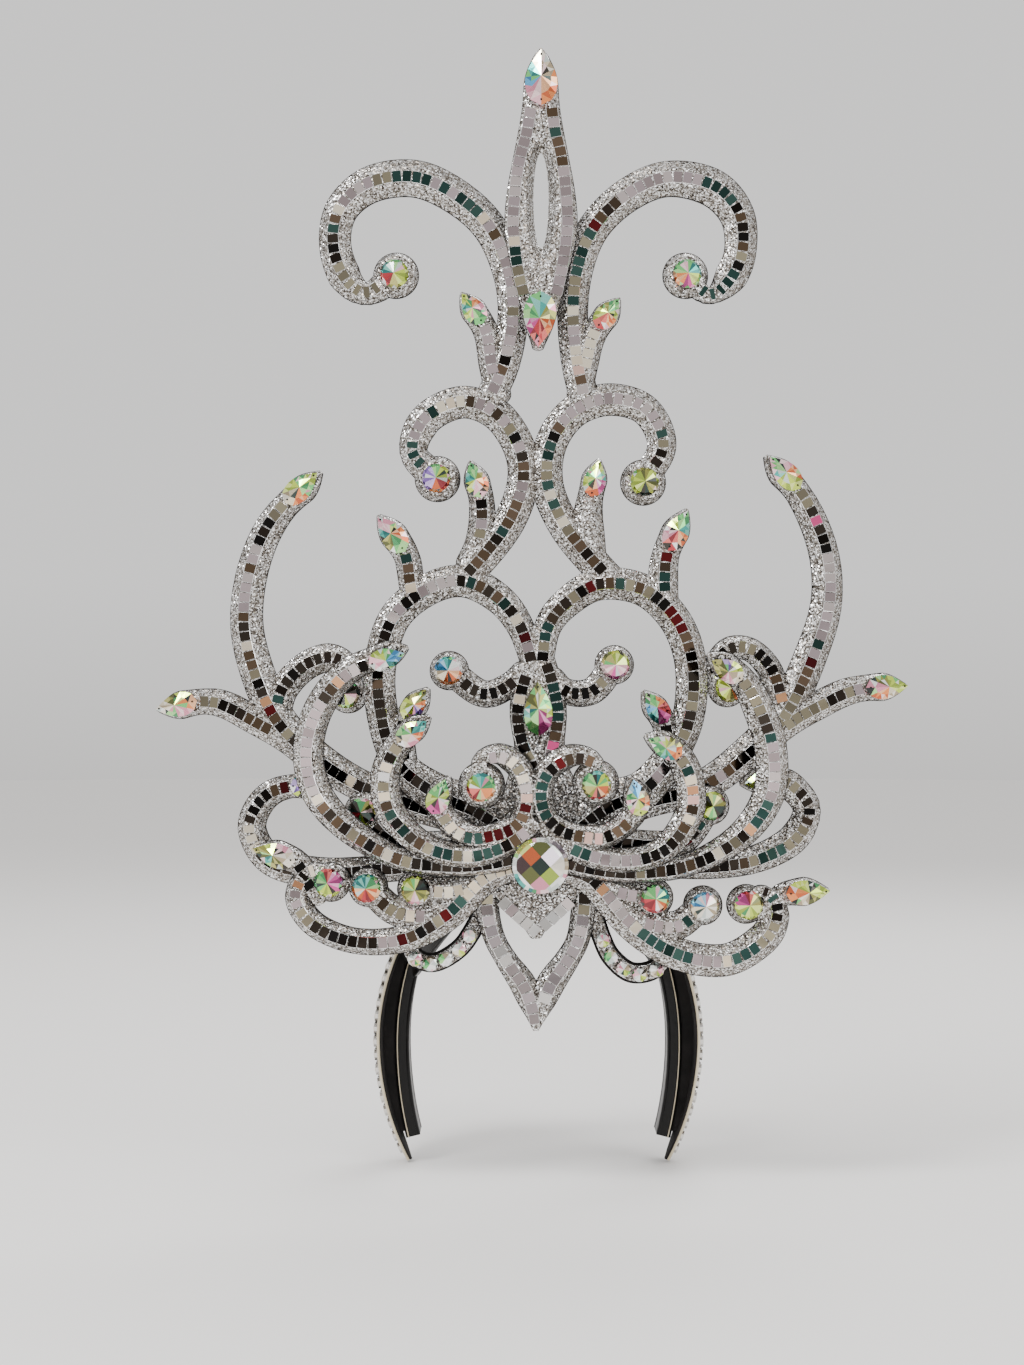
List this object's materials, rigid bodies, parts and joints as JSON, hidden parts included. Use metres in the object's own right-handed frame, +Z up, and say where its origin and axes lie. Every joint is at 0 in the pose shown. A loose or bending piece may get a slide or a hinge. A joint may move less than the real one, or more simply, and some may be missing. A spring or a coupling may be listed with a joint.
{
  "type": "carnival headdress",
  "caption": "Tall carnival headdress of scrolled silver glitter foam with mirror mosaic strips and iridescent cut glass stones, on a black head band with mirrored side flaps.",
  "frame": {"origin": "the seat of the head band's arch on the crown of the head, on the centre line", "axes": "+Z up along the crown's height, -Y out of the front, +X to the viewer's right"},
  "size_m": [0.424, 0.1775, 0.6294],
  "materials": {
    "glitter_foam": "silver glitter over bevelled foam with rows of mirror tiles",
    "black_foam": "plain black foam",
    "cut_glass": "faceted, foil-backed, iridescent",
    "mirror_scale": "small silver mirror scales over foam"
  },
  "bodies": {
    "root": {"tower": "glitter_foam", "fleur": "glitter_foam", "wing_left": "glitter_foam", "wing_right": "glitter_foam", "side_loop_left": "glitter_foam", "side_loop_right": "glitter_foam", "spray_left": "glitter_foam", "spray_right": "glitter_foam", "crescent_left": "glitter_foam", "crescent_right": "glitter_foam", "heart": "glitter_foam", "pendant": "glitter_foam", "brow_loop_left": "glitter_foam", "brow_loop_right": "glitter_foam", "centre_gem": "cut_glass", "drop_arm_left": "cut_glass", "drop_arm_right": "cut_glass", "drop_crescent_left": "cut_glass", "drop_crescent_right": "cut_glass", "drop_crest": "cut_glass", "drop_cup_left": "cut_glass", "drop_cup_right": "cut_glass", "drop_fleur": "cut_glass", "drop_horn_left": "cut_glass", "drop_horn_right": "cut_glass", "drop_leaf_high_left": "cut_glass", "drop_leaf_high_right": "cut_glass", "drop_leaf_inner_left": "cut_glass", "drop_leaf_inner_right": "cut_glass", "drop_leaf_low_left": "cut_glass", "drop_leaf_low_right": "cut_glass", "drop_leaf_mid_left": "cut_glass", "drop_leaf_mid_right": "cut_glass", "drop_lens": "cut_glass", "drop_petal_left": "cut_glass", "drop_petal_right": "cut_glass", "drop_tip_left": "cut_glass", "drop_tip_right": "cut_glass", "stone_arch_left": "cut_glass", "stone_arch_right": "cut_glass", "stone_cup_curl_left": "cut_glass", "stone_cup_curl_right": "cut_glass", "stone_curl_left": "cut_glass", "stone_curl_right": "cut_glass", "stone_mid_left": "cut_glass", "stone_mid_right": "cut_glass", "stone_sweep_left": "cut_glass", "stone_sweep_right": "cut_glass", "stone_top_left": "cut_glass", "stone_top_right": "cut_glass", "stone_tuck_left": "cut_glass", "stone_tuck_right": "cut_glass", "stone_twig_left": "cut_glass", "stone_twig_right": "cut_glass", "stone_twiglet_left": "cut_glass", "stone_twiglet_right": "cut_glass", "head_arch": "black_foam", "brow_band": "black_foam", "side_lappet_left": "mirror_scale", "side_lappet_right": "mirror_scale"}
  },
  "joints": []
}
